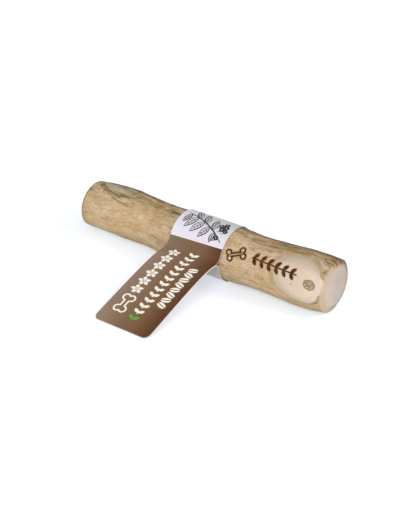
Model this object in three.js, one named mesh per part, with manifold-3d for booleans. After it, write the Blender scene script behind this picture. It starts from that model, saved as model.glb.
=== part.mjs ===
// A chew stick for dogs: one length of peeled coffee branch lying on a table, sawn and bevelled at
// both ends, with a strip of printed card wrapped round its waist. The strip's two ends are glued back
// to back and stand out in front as a tag, which droops until its end rests on the table.
// Millimetres, +Z up, +X along the branch towards its knotty end, the tag towards -Y.

import * as THREE from 'three';
import { mergeVertices } from 'three/addons/utils/BufferGeometryUtils.js';
import Module from 'manifold-3d';

const wasm = await Module();
wasm.setup();

// Branch: its girth, sideways bend and height above the table at the places where it changes
const branchLength = 150;
const branchPlaces = [
  { at: 'plain end', along: -75, radius: 12.0, aside: 1.7, clear: 0.6 },
  { at: 'plain swelling', along: -56, radius: 13.1, aside: 2.6, clear: -0.15 },
  { at: 'plain neck', along: -31, radius: 12.45, aside: 1.1, clear: 0.6 },
  { at: 'far edge of the card', along: -12, radius: 13.4, aside: -2.4, clear: 1.05 },
  { at: 'near edge of the card', along: 20, radius: 13.75, aside: -2.6, clear: 0.7 },
  { at: 'knotty neck', along: 38, radius: 13.4, aside: -1.8, clear: 0.7 },
  { at: 'knotty swelling', along: 62, radius: 14.25, aside: -1.0, clear: -0.15 },
  { at: 'knotty end', along: 75, radius: 13.1, aside: 0.6, clear: 0.5 },
];
const plainBevel = { length: 2.4, depth: 2.0 };
const knottyBevel = { length: 1.1, depth: 2.2 };
const bevelSteps = 3;
const bevelRoundness = 1.8;
const roundness = { twoSided: 0.3, threeSided: 0.2, drift: 0.035, fadeLength: 12 };

// Shallow flats on the branch; turn is the angle up from the front, halfWidth is measured round it
const trimmedFlats = [
  { at: 'side branch cut flush', along: 60, turn: 28, halfLength: 12.7, halfWidth: 11.5, depth: 0.5 },
  { at: 'old scar', along: -57, turn: 100, halfLength: 12, halfWidth: 7, depth: 0.5 },
];

const segmentsRound = 44;
const stepAlong = 3;
const tableDepth = 10;
const weldDistance = 1e-4;

// Card strip: a band round the waist and a tag of two layers
const cardThickness = 0.3;
const cardWidth = 31;
const bandInnerRadius = 14.1;
const bandPlace = { along: 4.4, aside: -2.5, up: 14.45 };
const bandTurn = -0.5;
const tagHeight = 1.9;
const upperBendRadius = 5.2;
const lowerBendRadius = 4.0;
const tagLength = 53;
const tagSlope = 20.4;
const tagDroopLength = 7.5;
const tagLean = -4;
const tagFlare = 0.65;
const tagCornerRadius = 3;
const degreesPerStep = 5;
const tagSteps = 12;

const woodMaterial = new THREE.MeshStandardMaterial({ color: 0xc9b288, roughness: 0.62, metalness: 0 });
const cardMaterial = new THREE.MeshStandardMaterial({ color: 0x8a6a56, roughness: 0.5, metalness: 0 });

function solidOf(geometry) {
  const bare = geometry.clone();
  bare.deleteAttribute('normal');
  bare.deleteAttribute('uv');
  const merged = mergeVertices(bare, weldDistance);
  return new wasm.Manifold(new wasm.Mesh({
    numProp: 3,
    vertProperties: new Float32Array(merged.attributes.position.array),
    triVerts: new Uint32Array(merged.index.array),
  }));
}

function geometryOf(solid) {
  const mesh = solid.getMesh();
  const geometry = new THREE.BufferGeometry();
  geometry.setAttribute('position', new THREE.BufferAttribute(mesh.vertProperties, 3));
  geometry.setIndex(new THREE.BufferAttribute(mesh.triVerts, 1));
  geometry.computeVertexNormals();
  return geometry;
}

// A smooth cubic through the listed places of the branch, each slope taken from its two neighbours
function branchValue(key, along) {
  const last = branchPlaces.length - 1;
  const slopeAt = (i) => {
    const before = branchPlaces[Math.max(i - 1, 0)];
    const after = branchPlaces[Math.min(i + 1, last)];
    return (after[key] - before[key]) / (after.along - before.along);
  };
  let i = 0;
  while (i < last - 1 && along > branchPlaces[i + 1].along) i += 1;
  const start = branchPlaces[i];
  const end = branchPlaces[i + 1];
  const span = end.along - start.along;
  const t = (along - start.along) / span;
  return start[key] * (1 + 2 * t) * (1 - t) ** 2 + end[key] * t * t * (3 - 2 * t)
    + span * t * (1 - t) * (slopeAt(i) * (1 - t) - slopeAt(i + 1) * t);
}

// The wood is never quite round, except under the card and where it lies on the table
function outOfRound(along, turn) {
  const beyondCard = Math.abs(along - bandPlace.along) - cardWidth / 2;
  const fade = THREE.MathUtils.smoothstep(beyondCard, 0, roundness.fadeLength);
  const upper = (1 + Math.sin(turn)) / 2;
  return fade * upper * (roundness.twoSided * Math.sin(2 * turn + roundness.drift * along)
    + roundness.threeSided * Math.sin(3 * turn - roundness.drift * along));
}

function trimmedAway(along, turn, radius) {
  let depth = 0;
  for (const flat of trimmedFlats) {
    const round = THREE.MathUtils.euclideanModulo(turn - THREE.MathUtils.degToRad(flat.turn) + Math.PI,
      2 * Math.PI) - Math.PI;
    const off = ((along - flat.along) / flat.halfLength) ** 2 + (round * radius / flat.halfWidth) ** 2;
    depth += flat.depth * Math.max(0, 1 - off);
  }
  return depth;
}

function branchRing(along, shrink) {
  const radius = branchValue('radius', along);
  const aside = branchValue('aside', along);
  const up = branchValue('clear', along) + radius;
  const ring = [];
  for (let j = 0; j < segmentsRound; j += 1) {
    const turn = (2 * Math.PI * j) / segmentsRound;
    const reach = radius + outOfRound(along, turn) - trimmedAway(along, turn, radius) - shrink;
    ring.push(new THREE.Vector3(along, aside - reach * Math.cos(turn), up + reach * Math.sin(turn)));
  }
  return ring;
}

function branchGeometry() {
  const half = branchLength / 2;
  const rings = [];
  for (let k = bevelSteps; k > 0; k -= 1) {
    const share = k / bevelSteps;
    rings.push(branchRing(-half + plainBevel.length * (1 - share), plainBevel.depth * share ** bevelRoundness));
  }
  const bodyStart = -half + plainBevel.length;
  const bodyEnd = half - knottyBevel.length;
  const bodySteps = Math.round((bodyEnd - bodyStart) / stepAlong);
  for (let i = 0; i <= bodySteps; i += 1) {
    rings.push(branchRing(bodyStart + ((bodyEnd - bodyStart) * i) / bodySteps, 0));
  }
  for (let k = 1; k <= bevelSteps; k += 1) {
    const share = k / bevelSteps;
    rings.push(branchRing(half - knottyBevel.length * (1 - share), knottyBevel.depth * share ** bevelRoundness));
  }
  const points = rings.flat();
  const corner = (i, j) => i * segmentsRound + (j % segmentsRound);
  const faces = [];
  for (let i = 0; i < rings.length - 1; i += 1) {
    for (let j = 0; j < segmentsRound; j += 1) {
      faces.push(corner(i, j), corner(i + 1, j), corner(i + 1, j + 1));
      faces.push(corner(i, j), corner(i + 1, j + 1), corner(i, j + 1));
    }
  }
  const middleOf = (ring) => ring.reduce((sum, p) => sum.add(p), new THREE.Vector3()).divideScalar(ring.length);
  const plainMiddle = points.push(middleOf(rings[0])) - 1;
  const knottyMiddle = points.push(middleOf(rings.at(-1))) - 1;
  for (let j = 0; j < segmentsRound; j += 1) {
    faces.push(plainMiddle, corner(0, j), corner(0, j + 1));
    faces.push(knottyMiddle, corner(rings.length - 1, j + 1), corner(rings.length - 1, j));
  }
  const geometry = new THREE.BufferGeometry().setFromPoints(points);
  geometry.setIndex(faces);
  return geometry;
}

// The two swellings are worn flat where they lie on the table
function makeBranch() {
  const table = new THREE.BoxGeometry(2 * branchLength, branchLength, tableDepth);
  table.translate(0, 0, -tableDepth / 2);
  const lying = solidOf(branchGeometry()).subtract(solidOf(table));
  const branch = new THREE.Mesh(geometryOf(lying), woodMaterial);
  branch.name = 'stick';
  return branch;
}

// Points of an arc, with both of its ends
function arcPoints(centre, radius, fromDegrees, toDegrees) {
  const steps = Math.max(4, Math.round(Math.abs(toDegrees - fromDegrees) / degreesPerStep));
  const points = [];
  for (let k = 0; k <= steps; k += 1) {
    const turn = THREE.MathUtils.degToRad(fromDegrees + ((toDegrees - fromDegrees) * k) / steps);
    points.push(new THREE.Vector2(centre.x + radius * Math.cos(turn), centre.y + radius * Math.sin(turn)));
  }
  return points;
}

// The tag's middle line from the foot of its upper bend: level there, soon at its full slope
function tagLine(footX) {
  const stepLength = tagLength / tagSteps;
  const slopeAt = (run) => THREE.MathUtils.degToRad(tagSlope) * (1 - Math.exp(-run / tagDroopLength));
  const line = [];
  const point = new THREE.Vector2(footX, tagHeight);
  for (let k = 0; k <= tagSteps; k += 1) {
    const slope = slopeAt(k * stepLength);
    line.push({ point: point.clone(), across: new THREE.Vector2(Math.sin(slope), Math.cos(slope)) });
    const middleSlope = slopeAt((k + 0.5) * stepLength);
    point.add(new THREE.Vector2(Math.cos(middleSlope), -Math.sin(middleSlope)).multiplyScalar(stepLength));
  }
  return line;
}

// The card strip seen end on, from the band's centre: x out to the front, y up
function cardSection() {
  const outer = bandInnerRadius + cardThickness;
  const bendCentre = (radius, side) => {
    const y = tagHeight + side * (cardThickness + radius);
    return new THREE.Vector2(Math.sqrt((outer + radius) ** 2 - y * y), y);
  };
  const upper = bendCentre(upperBendRadius, 1);
  const lower = bendCentre(lowerBendRadius, -1);
  const upperTurn = THREE.MathUtils.radToDeg(Math.atan2(upper.y, upper.x));
  const lowerTurn = THREE.MathUtils.radToDeg(Math.atan2(lower.y, lower.x));
  const middle = new THREE.Vector2();
  const line = tagLine(Math.max(upper.x, lower.x));
  const topSide = line.map(({ point, across }) => point.clone().addScaledVector(across, cardThickness));
  const underSide = line.map(({ point, across }) => point.clone().addScaledVector(across, -cardThickness));

  const outline = [
    ...arcPoints(middle, outer, upperTurn, 360 + lowerTurn),
    ...arcPoints(lower, lowerBendRadius, 180 + lowerTurn, 90).slice(1),
    ...underSide,
    ...topSide.reverse(),
    ...arcPoints(upper, upperBendRadius, 270, 180 + upperTurn).slice(1, -1),
  ];
  const hollow = [
    ...arcPoints(middle, bandInnerRadius, upperTurn, 360 + lowerTurn),
    ...arcPoints(lower, lowerBendRadius + cardThickness, 180 + lowerTurn, 90).slice(1),
    ...arcPoints(upper, upperBendRadius + cardThickness, 270, 180 + upperTurn).slice(0, -1),
  ];
  const shape = new THREE.Shape(outline);
  shape.holes.push(new THREE.Path(hollow));
  return { shape, root: line[0].point.x, tip: Math.max(...outline.map((point) => point.x)) };
}

// The tag leans a little towards the branch's plain end and widens a little towards its own end
function leanTag(geometry, root) {
  const position = geometry.attributes.position;
  const lean = Math.tan(THREE.MathUtils.degToRad(tagLean));
  for (let i = 0; i < position.count; i += 1) {
    const run = Math.max(0, -position.getY(i) - root);
    const widen = 1 + (2 * tagFlare * run) / (cardWidth * tagLength);
    position.setX(i, position.getX(i) * widen + run * lean);
  }
  geometry.computeVertexNormals();
  return geometry;
}

// What is cut off one far corner of the tag, seen from above, to leave it rounded
function cornerOffcut(side, tip) {
  const edge = cardWidth / 2;
  const spare = 2;
  const arc = arcPoints(new THREE.Vector2(edge - tagCornerRadius, tagCornerRadius - tip),
    tagCornerRadius, -90, 0);
  const outline = [
    ...arc,
    new THREE.Vector2(edge + spare, tagCornerRadius - tip),
    new THREE.Vector2(edge + spare, -tip - spare),
    new THREE.Vector2(edge - tagCornerRadius, -tip - spare),
  ].map((point) => new THREE.Vector2(side * point.x, point.y));
  const offcut = new THREE.ExtrudeGeometry(new THREE.Shape(outline), { depth: tip, bevelEnabled: false });
  offcut.translate(0, 0, -tip / 2);
  return offcut;
}

function makeCardStrip() {
  const { shape, root, tip } = cardSection();
  const strip = new THREE.ExtrudeGeometry(shape, { depth: cardWidth, bevelEnabled: false });
  strip.translate(0, 0, -cardWidth / 2);
  const sectionToPlace = new THREE.Matrix4().makeBasis(
    new THREE.Vector3(0, -1, 0),
    new THREE.Vector3(0, 0, 1),
    new THREE.Vector3(-1, 0, 0),
  );
  strip.applyMatrix4(sectionToPlace);
  const trimmed = solidOf(strip)
    .subtract(solidOf(cornerOffcut(1, tip)))
    .subtract(solidOf(cornerOffcut(-1, tip)));
  const card = new THREE.Mesh(leanTag(geometryOf(trimmed), root), cardMaterial);
  card.name = 'paper_label';
  const place = new THREE.Group();
  place.position.set(bandPlace.along, bandPlace.aside, bandPlace.up);
  place.rotation.z = THREE.MathUtils.degToRad(bandTurn);
  place.add(card);
  return place;
}

const chewStick = new THREE.Group();
chewStick.add(makeBranch(), makeCardStrip());

// The origin is on the table, under the middle of the whole object
chewStick.updateMatrixWorld(true);
const reach = new THREE.Box3().setFromObject(chewStick);
const middle = reach.getCenter(new THREE.Vector3());
chewStick.position.set(-middle.x, -middle.y, -reach.min.z);

export default chewStick;
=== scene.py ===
from math import asin, atan2, ceil, cos, pi, radians, sin, sqrt
import bmesh
import bpy
import numpy as np
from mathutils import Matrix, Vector, noise


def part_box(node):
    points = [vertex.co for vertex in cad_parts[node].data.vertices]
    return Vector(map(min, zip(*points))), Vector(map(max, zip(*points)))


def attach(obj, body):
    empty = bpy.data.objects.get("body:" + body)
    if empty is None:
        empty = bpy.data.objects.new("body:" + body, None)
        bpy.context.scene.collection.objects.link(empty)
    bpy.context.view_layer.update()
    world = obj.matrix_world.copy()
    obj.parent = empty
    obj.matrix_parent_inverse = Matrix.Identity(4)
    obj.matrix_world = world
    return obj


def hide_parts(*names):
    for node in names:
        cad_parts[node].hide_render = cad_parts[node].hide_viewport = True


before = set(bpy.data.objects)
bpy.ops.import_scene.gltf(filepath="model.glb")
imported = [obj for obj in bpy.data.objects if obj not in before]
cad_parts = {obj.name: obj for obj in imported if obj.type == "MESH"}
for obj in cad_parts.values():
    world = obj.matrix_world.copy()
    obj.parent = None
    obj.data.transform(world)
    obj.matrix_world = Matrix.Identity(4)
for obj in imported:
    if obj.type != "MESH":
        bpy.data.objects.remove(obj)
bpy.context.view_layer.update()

# A peeled branch for a dog to chew, with a printed card round its waist.
# Sizes are millimetres: along runs to the knotty end, turn is the angle up from the front.
mm = 0.001
scene = bpy.context.scene


# Small tools for objects, nodes and materials
def addObject(name, data):
    made = bpy.data.objects.new(name, data)
    scene.collection.objects.link(made)
    return made


def colour(red, green, blue):
    # a screen colour, 0 to 255, as the linear colour that a shader takes
    linear = []
    for value in (red, green, blue):
        share = value / 255
        linear.append(share / 12.92 if share <= 0.04045 else ((share + 0.055) / 1.055) ** 2.4)
    return (*linear, 1)


def isSocket(value):
    return isinstance(value, bpy.types.NodeSocket)


def setInputs(node, values):
    for key, value in values.items():
        if isSocket(value):
            node.id_data.links.new(value, node.inputs[key])
        else:
            node.inputs[key].default_value = value


def addNode(tree, kind, output, inputs, **settings):
    node = tree.nodes.new(kind)
    for name, value in settings.items():
        setattr(node, name, value)
    setInputs(node, inputs)
    return node.outputs[output]


def treeOf(*values):
    # the node tree that the sockets among these values are in
    return next(value.id_data for value in values if isSocket(value))


def calculate(operation, *values):
    return addNode(treeOf(*values), "ShaderNodeMath", 0, dict(enumerate(values)), operation=operation)


def times(first, *others):
    for value in others:
        first = calculate("MULTIPLY", first, value)
    return first


def timesPlus(value, factor, more):
    return calculate("MULTIPLY_ADD", value, factor, more)


def plus(first, second):
    return calculate("ADD", first, second)


def minus(first, second):
    return calculate("SUBTRACT", first, second)


def unevenly(value, unevenness, amount):
    # moved up and down by a noise
    return plus(value, timesPlus(unevenness, amount, -amount / 2))


def softStep(value, start, end, low=0.0, high=1.0):
    return addNode(treeOf(value), "ShaderNodeMapRange", "Result",
                   {"Value": value, "From Min": start, "From Max": end, "To Min": low, "To Max": high},
                   interpolation_type="SMOOTHSTEP")


def splitVector(vector):
    node = vector.id_data.nodes.new("ShaderNodeSeparateXYZ")
    setInputs(node, {0: vector})
    return node.outputs


def scaled(vector, amount):
    # a place, or a colour made lighter or darker
    return addNode(treeOf(vector, amount), "ShaderNodeVectorMath", 0,
                   {0: vector if isSocket(vector) else vector[:3], "Scale": amount}, operation="SCALE")


def mixColours(share, first, second, mode="MIX"):
    return addNode(treeOf(share, first, second), "ShaderNodeMix", 2, {"Factor": share, 6: first, 7: second},
                   data_type="RGBA", blend_type=mode, clamp_factor=True)


def shaded(base, value, start, end, low, high):
    # lighter or darker as a value goes from start to end
    return scaled(base, softStep(value, start, end, low, high))


def tinted(base, other, value, start, end, low=0.0, high=1.0):
    # towards another colour as a value goes from start to end
    return mixColours(softStep(value, start, end, low, high), base, other)


def noiseOn(place, stretch, seed, detail=3, roughness=0.5, distortion=0.0):
    tree = place.id_data
    moved = addNode(tree, "ShaderNodeMapping", 0,
                    {"Vector": place, "Location": (seed, seed * 0.7, -seed), "Scale": stretch})
    return addNode(tree, "ShaderNodeTexNoise", "Fac", {
        "Vector": moved,
        "Scale": 1,
        "Detail": detail,
        "Roughness": roughness,
        "Distortion": distortion,
    })


def noisesOn(place, table):
    return {name: noiseOn(place, *values) for name, values in table.items()}


def colourStops(value, stops):
    node = value.id_data.nodes.new("ShaderNodeValToRGB")
    ramp = node.color_ramp
    while len(ramp.elements) < len(stops):
        ramp.elements.new(0.5)
    for element, (position, stopColour) in zip(ramp.elements, stops):
        element.position = position
        element.color = stopColour
    setInputs(node, {"Fac": value})
    return node.outputs["Color"]


def readAttribute(tree, name, output="Fac"):
    return addNode(tree, "ShaderNodeAttribute", output, {}, attribute_name=name)


def startMaterial(name):
    material = bpy.data.materials.new(name)
    material.use_nodes = True
    tree = material.node_tree
    return material, tree, tree.nodes["Principled BSDF"]


def bump(height, strength, distance):
    return addNode(treeOf(height), "ShaderNodeBump", 0,
                   {"Strength": strength, "Distance": distance * mm, "Height": height})


def startTree(name, inputs):
    tree = bpy.data.node_groups.new(name, "GeometryNodeTree")
    for socketName, kind in inputs:
        tree.interface.new_socket(socketName, in_out="INPUT", socket_type="NodeSocket" + kind)
    tree.interface.new_socket("Result", in_out="OUTPUT", socket_type="NodeSocketGeometry")
    return tree, tree.nodes.new("NodeGroupInput").outputs


def finishTree(tree, geometry, painted):
    # real meshes, then a material for each selection of faces
    geometry = addNode(tree, "GeometryNodeRealizeInstances", 0, {"Geometry": geometry})
    for selection, material in painted:
        geometry = addNode(tree, "GeometryNodeSetMaterial", 0,
                           {"Geometry": geometry, "Selection": selection, "Material": material})
    setInputs(tree.nodes.new("NodeGroupOutput"), {0: geometry})
    return tree


def applyTree(piece, tree, values, name):
    # the tree's result as a plain mesh object of its own
    modifier = piece.modifiers.new(tree.name, "NODES")
    modifier.node_group = tree
    for item in tree.interface.items_tree:
        if item.name in values:
            modifier[item.identifier] = values[item.name]
    evaluated = piece.evaluated_get(bpy.context.evaluated_depsgraph_get())
    mesh = bpy.data.meshes.new_from_object(evaluated)
    mesh.name = name
    bpy.data.objects.remove(piece)
    return addObject(name, mesh)


# Camera
cameraView = {
    "azimuth": 35,
    "elevation": 30,
    "distance": 606.7,
    "lookAt": (0, 26.95, 13),
    "lens": 85.4,
    "shiftX": -0.0094,
    "shiftY": -0.018,
}


def placeFacing(name, data, azimuth, elevation, distance):
    # a camera or lamp that looks at the stick from a bearing and a height in degrees
    bearing, height = radians(azimuth), radians(elevation)
    level = cos(height)
    back = Vector((sin(bearing) * level, -cos(bearing) * level, sin(height)))
    made = addObject(name, data)
    made.location = (Vector(cameraView["lookAt"]) + back * distance) * mm
    made.rotation_euler = back.to_track_quat("Z", "Y").to_euler()
    return made


def placeCamera():
    lens = bpy.data.cameras.new("camera")
    lens.lens = cameraView["lens"]
    lens.shift_x = cameraView["shiftX"]
    lens.shift_y = cameraView["shiftY"]
    scene.camera = placeFacing("camera", lens, cameraView["azimuth"], cameraView["elevation"],
                               cameraView["distance"])


placeCamera()
print("camera placed")

# Card strip: band round the waist, two bends and a tag of two layers glued back to back
card = {
    "thickness": 0.3,
    "stock": 0.29,  # a little less, so that the two glued layers don't share a face
    "width": 31.0,
    "bandInner": 14.1,
    "along": 4.4,
    "aside": -2.5,
    "up": 14.45,
    "turned": -0.5,
    "tagHeight": 1.9,
    "upperBend": 5.2,
    "lowerBend": 4.0,
    "tagLength": 53.0,
    "tagSlope": 20.4,
    "droopLength": 7.5,
    "droopPoints": 1061,
    "lean": -4.0,
    "flare": 0.65,
    "cornerRadius": 3.0,
    "cornerSteps": 10,
    "step": 0.6,
    "bendStep": 1.5,  # degrees
    "columns": 12,
}

# The wood: the same branch as the solid, with its grain, creases and cut marks
branch = {
    "length": 150.0,
    "places": [  # along, radius, aside, clear of the table
        (-75, 12.0, 1.7, 0.6),  # plain end
        (-56, 13.1, 2.6, -0.15),  # plain swelling
        (-31, 12.45, 1.1, 0.6),  # plain neck
        (-12, 13.4, -2.4, 1.05),  # far edge of the card
        (20, 13.75, -2.6, 0.7),  # near edge of the card
        (38, 13.4, -1.8, 0.7),  # knotty neck
        (62, 14.25, -1.0, -0.15),  # knotty swelling
        (75, 13.1, 0.6, 0.5),  # knotty end
    ],
    "plainBevel": {"length": 2.4, "depth": 2.0},
    "knottyBevel": {"length": 1.1, "depth": 2.2},
    "bevelRoundness": 1.8,
    "twoSided": 0.3,
    "threeSided": 0.2,
    "drift": 0.035,
    "fadeLength": 12.0,
    # the top, which is greyer and carries painted shade
    "weatheredAndShadedTurn": 116.0,
    # a strip of painted shade along the top
    "shadeStripTurn": 125.0,  # middle of the darkest strip, on top
    "shadeStripWidth": 22.0,
    "shadeStripFade": 1.6,  # towards the back, in widths
    # the turn that faces the light; the far side's painted shade grows away from it
    "brightTurn": 35.0,
    "pointsRound": 232,
    "step": 0.34,
    "stepUnderCard": 1.5,
    "hiddenUnderCard": 2.0,
    "bevelRings": 8,
    "endRings": 20,
}

ovals = {
    "cut": {"along": 63.5, "turn": 28.5, "plainReach": 15.4, "knottyReach": 9.3, "halfWidth": 12.2,
            "shear": 0.2, "swerve": 0.5},
    "scar": {"along": -56.5, "turn": 99, "plainReach": 11.5, "knottyReach": 11.5, "halfWidth": 6.6,
             "shear": 0.0, "swerve": 0.45},
}
cutRunOut = {"along": 69.0, "turn": 22.0, "halfWidth": 7.0, "flare": -0.75}

relief = {
    "lumps": (0.3, (0.07, 0.15, 0.15), 3.1),  # depth, stretch and seed
    "knobs": (0.13, (0.17, 0.36, 0.36), 7.4),
    "ridges": (0.09, (0.2, 0.75, 0.75), 11.7),
    "hairs": (0.06, (0.4, 1.5, 1.5), 23.9),
    "edges": (0.35, (0.3, 0.3, 0.3), 5.5),
    "saw": (0.02, (0, 0.5, 2.2), 8.3),
    "grainRadius": 13.0,
    "twist": 0.0015,
    "swerveReach": 1.1,
    "cutDepth": 0.75,
    "cutStep": 0.12,
    "scarDepth": 0.34,
    "scarLip": 0.14,
    "scarLipWidth": 0.9,
    "scarSmoothing": 0.7,
    "scarUnevenness": 1.6,
    "burnDepth": 0.14,
    # creases this deep get the full painted shade
    "darkCrease": 0.16,
}

# Creases in the wood as (along, turn) points, then depth and half width
creases = [
    ([(-67.5, 92), (-65.8, 86), (-62.5, 78), (-59.5, 71), (-55.5, 65), (-52, 62.5)], 0.38, 0.55),
    ([(-57.5, 61), (-55.8, 56.5), (-51.5, 53), (-48.2, 52), (-45.5, 50)], 0.28, 0.45),
    ([(-62.5, 73), (-60, 66), (-57, 60), (-53, 55)], 0.18, 0.4),
    ([(-64.5, 74), (-62, 67), (-60, 63)], 0.12, 0.4),
    ([(-54.5, 66), (-50, 71), (-46, 77), (-42, 84)], 0.2, 0.7),
    ([(-44.5, 61), (-43, 62), (-41, 62.5)], 0.12, 0.35),
    ([(-36, 89), (-32.8, 88), (-29.5, 84), (-27, 84)], 0.14, 0.4),
    ([(-33, 80), (-29, 77), (-24, 78)], 0.1, 0.35),
    ([(-24, 68), (-19, 66), (-14, 67)], 0.1, 0.35),
    ([(-60, 3), (-57.5, 2), (-56, 4)], 0.1, 0.4),
    ([(23, 86), (30, 83), (37, 84)], 0.14, 0.4),
    ([(31, 78), (38, 76), (45, 80), (50, 82), (58, 84), (64, 90)], 0.2, 0.5),
    ([(40, 91), (50, 95), (60, 98), (68, 104)], 0.14, 0.4),
    ([(64, 86), (69, 88), (73, 93)], 0.14, 0.4),
    ([(30, -14), (38, -12), (47, -15)], 0.1, 0.4),
    ([(-66, -150), (-52, -155), (-38, -151)], 0.16, 0.5),
    ([(28, 168), (44, 161), (62, 165)], 0.16, 0.5),
    ([(-30, 150), (-20, 146), (-12, 149)], 0.12, 0.4),
    ([(34, 130), (48, 126), (60, 131)], 0.14, 0.45),
]

# Small holes: along, turn, radius and depth
pits = [
    (-64, 68, 0.55, 0.4), (-65.3, 21, 0.4, 0.3), (-63.7, 19, 0.4, 0.3), (-55.8, 10, 0.5, 0.25),
    (58.8, 12, 0.5, 0.35), (72.4, 56, 0.5, 0.35), (73.6, 52, 0.45, 0.3), (71.8, -16, 0.6, 0.35),
    (70.6, -18, 0.4, 0.25), (26.5, 57, 0.4, 0.2), (-40, 150, 0.5, 0.3), (44, 175, 0.6, 0.35),
]

# Soft coloured spots: along, turn, half length, half width and strength
tints = {
    "ochre": [
        (-45, 2, 9, 2.2, 0.75), (-34, 10, 8, 2.4, 0.9), (-71, 12, 2.5, 3.5, 0.8), (-13, 16, 5, 3, 0.7),
        (-25, 45, 6, 2, 0.5), (40, -8, 8, 3, 0.7), (29, 4, 6, 3.2, 0.4), (21.5, 38, 2.6, 6, 0.2),
        (50, -11, 7, 2.2, 0.6), (-20, 170, 12, 3, 0.7), (48, 150, 12, 3, 0.6),
    ],
    "pink": [
        (-26.5, 19, 4, 1.8, 0.9), (-67, 27, 3.4, 1.7, 0.9), (-68, 63, 4, 2.6, 0.7), (-13, 30, 3, 3, 0.7),
        (38, 46, 9, 4, 0.6), (-54, 28, 8, 3, 0.4), (31, 64, 8, 2.2, 0.4), (-60, 175, 8, 4, 0.5),
        (42, 58, 10, 3.6, 0.75), (24, 22, 3.5, 5, 0.75), (33, 14, 10, 5, 0.55),
    ],
    "olive": [
        (-67.2, 45, 2.6, 1.4, 0.6), (-70.8, 5, 1.8, 0.9, 0.8), (-48.5, 71, 7, 1.1, 0.9), (-17, 3, 5, 2, 0.5),
        (56, 86, 9, 2.0, 0.9), (35, 84, 8, 1.5, 0.7), (70, 74, 6, 4.5, 0.9), (73, 60, 2.5, 4, 0.8),
        (73, 98, 4, 5, 0.8), (-30, 84, 9, 1.5, 0.6), (20, 180, 20, 4, 0.5), (-15, 78, 6, 2, 0.4),
    ],
    "rust": [
        (-39.0, 98, 2.6, 1.8, 1.0), (-12, 33, 1.5, 2.2, 0.35), (-71.5, 66, 1.6, 1.6, 0.25),
        (73.5, 88, 1.4, 1.4, 0.3),
    ],
}

# Burnt mark: a bone, then a row of leaf pairs
burntMark = {
    "rowAlong": 48.2,
    "rowTurn": 36.0,
    "rowSlope": -3.7,
    "pairs": 6,
    "pitch": 4.15,
    "firstFoot": 0.15,
    "leafLength": 3.9,
    "leafWidth": 1.9,
    "leafGap": 0.1,
    "leafSpread": 54.0,
    "stem": 0.34,
    "boneAlong": 27.2,
    "boneTurn": 35.0,
    "boneSlope": 24.0,
    "boneStroke": 0.85,
}
bone = {"halfLength": 3.6, "halfHeight": 1.45, "knob": 1.75, "shaft": 1.15}


def branchValue(key, along):
    # a smooth cubic through the listed places, each slope taken from its two neighbours
    at, *columns = np.array(branch["places"], float).T
    value = columns[("radius", "aside", "clear").index(key)]
    last = len(at) - 1
    before = np.maximum(np.arange(last + 1) - 1, 0)
    after = np.minimum(np.arange(last + 1) + 1, last)
    slope = (value[after] - value[before]) / (at[after] - at[before])
    i = np.clip(np.searchsorted(at, along) - 1, 0, last - 1)
    span = at[i + 1] - at[i]
    t = (along - at[i]) / span
    return (value[i] * (1 + 2 * t) * (1 - t) ** 2 + value[i + 1] * t * t * (3 - 2 * t)
            + span * t * (1 - t) * (slope[i] * (1 - t) - slope[i + 1] * t))


def smooth(value, start, end):
    t = np.clip((value - start) / (end - start), 0, 1)
    return t * t * (3 - 2 * t)


def fadeFromCard(along):
    # 0 under the card, 1 a little way beyond it
    return smooth(np.abs(along - card["along"]) - card["width"] / 2, 0, branch["fadeLength"])


def outOfRound(along, turn):
    upper = (1 + np.sin(turn)) / 2
    return fadeFromCard(along) * upper * (branch["twoSided"] * np.sin(2 * turn + branch["drift"] * along)
                                          + branch["threeSided"] * np.sin(3 * turn - branch["drift"] * along))


def wrapped(angle):
    return (angle + pi) % (2 * pi) - pi


def roundFrom(middle, along, turn):
    # millimetres round the branch from a turn in degrees
    return wrapped(turn - radians(middle)) * branchValue("radius", along)


def onOval(oval, along, turn):
    # how far a place is from the oval's middle, as a share of the way to its edge
    v = roundFrom(oval["turn"], along, turn)
    u = along - oval["along"] + oval["shear"] * v
    reach = np.where(u > 0, oval["knottyReach"], oval["plainReach"])
    return v, np.hypot(u / reach, v / oval["halfWidth"])


def insideRunOut(along, turn):
    # where the cut widens out over the bevel
    past = along - cutRunOut["along"]
    v = roundFrom(cutRunOut["turn"], along, turn)
    return np.minimum(past, cutRunOut["halfWidth"] + cutRunOut["flare"] * past - np.abs(v))


def noiseAt(points, name):
    depth, stretch, seed = relief[name]
    flat = (points * np.array(stretch) + seed).reshape(-1, 3).tolist()
    return depth * np.array([noise.noise(spot) for spot in flat]).reshape(points.shape[:-1])


def distanceToLine(along, turn, points):
    radius = branchValue("radius", along)
    best = np.full(np.broadcast(along, turn).shape, 1e9)
    for (startAlong, startTurn), (endAlong, endTurn) in zip(points, points[1:]):
        u, v = along - startAlong, roundFrom(startTurn, along, turn)
        lineU, lineV = endAlong - startAlong, radians(endTurn - startTurn) * radius
        share = np.clip((u * lineU + v * lineV) / (lineU ** 2 + lineV ** 2), 0, 1)
        best = np.minimum(best, np.hypot(u - share * lineU, v - share * lineV))
    return best


def turnedPlane(u, v, degrees):
    cosine, sine = cos(radians(degrees)), sin(radians(degrees))
    return u * cosine + v * sine, v * cosine - u * sine


def insideLeaf(u, v, middle, degrees, length, width):
    # depth inside a pointed leaf: two arcs that meet at its tips
    x, y = turnedPlane(u - middle[0], v - middle[1], degrees)
    half = width / 2
    radius = (length ** 2 / 4 + half ** 2) / (2 * half)
    return radius - np.hypot(x, np.abs(y) + radius - half)


def insideBone(x, y):
    knobs = bone["knob"] - np.hypot(np.abs(x) - bone["halfLength"], np.abs(y) - bone["halfHeight"])
    shaft = np.minimum(bone["shaft"] - np.abs(y), bone["halfLength"] + bone["knob"] / 2 - np.abs(x))
    return np.maximum(knobs, shaft)


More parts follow.
